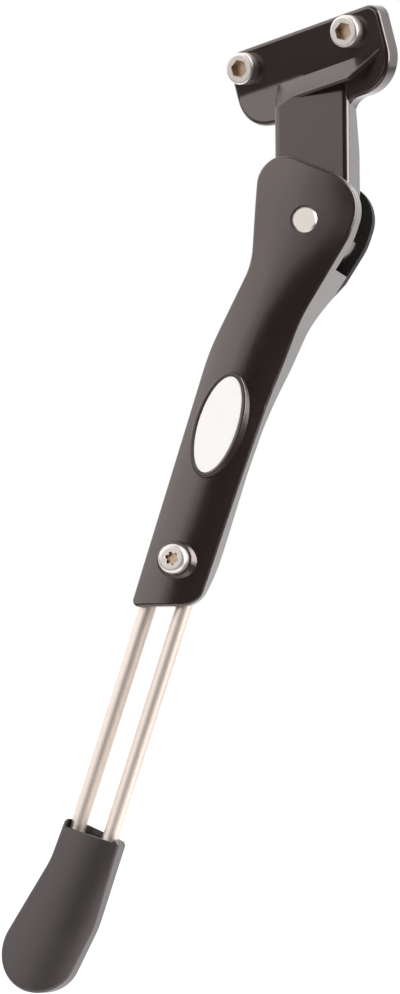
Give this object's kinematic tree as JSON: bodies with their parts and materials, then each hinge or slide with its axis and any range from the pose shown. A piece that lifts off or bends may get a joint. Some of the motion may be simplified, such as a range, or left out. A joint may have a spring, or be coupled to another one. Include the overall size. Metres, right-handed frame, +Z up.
{
  "type": "bicycle kickstand",
  "caption": "Folding rear kickstand for a bicycle: a bolt-on frame bracket, a cast leg on a pivot pin with an oval badge, and a rod-mounted rubber foot with adjustable length.",
  "frame": {"origin": "middle of the two mounting screws, on the bracket's inner face that lies against the bicycle's frame", "axes": "+Z up, +X to the rear of the bicycle, +Y through the mounting face towards the wheel; the outer side of the stand faces -Y"},
  "size_m": [0.0844, 0.1081, 0.3018],
  "materials": {
    "black_paint": "satin black paint over forged and cast aluminium",
    "bolt_steel": "plain stainless steel",
    "pin_steel": "turned steel",
    "rod_steel": "ground and plated steel rod",
    "white_badge": "smooth white plastic",
    "black_rubber": "matte moulded rubber"
  },
  "bodies": {
    "bracket": {"bracket": "black_paint", "mounting_bolts": "bolt_steel"},
    "leg": {"leg_body": "black_paint", "pivot_pin": "pin_steel", "badge": "white_badge", "clamp_screw": "bolt_steel", "clamp_plate": "pin_steel", "detent_spring": "pin_steel"},
    "slider": {"rod_fork": "rod_steel", "foot": "black_rubber"},
    "plunger": {"detent_plunger": "pin_steel"}
  },
  "joints": [
    {"name": "leg_fold", "type": "hinge", "parent": "bracket", "child": "leg", "pos_m": [0.0118, -0.0133, -0.0544], "axis": [0.2686, -0.9366, 0.225], "range_deg": [0, 100]},
    {"name": "length_adjust", "type": "slide", "parent": "leg", "child": "slider", "axis": [-0.179, -0.278, -0.9438], "range_m": [-0.02, 0.025]},
    {"name": "detent", "type": "slide", "parent": "leg", "child": "plunger", "axis": [0.179, 0.278, 0.9438], "range_m": [0, 0.001], "stiffness_N_per_m": 2000, "deforming": ["detent_spring"]}
  ]
}
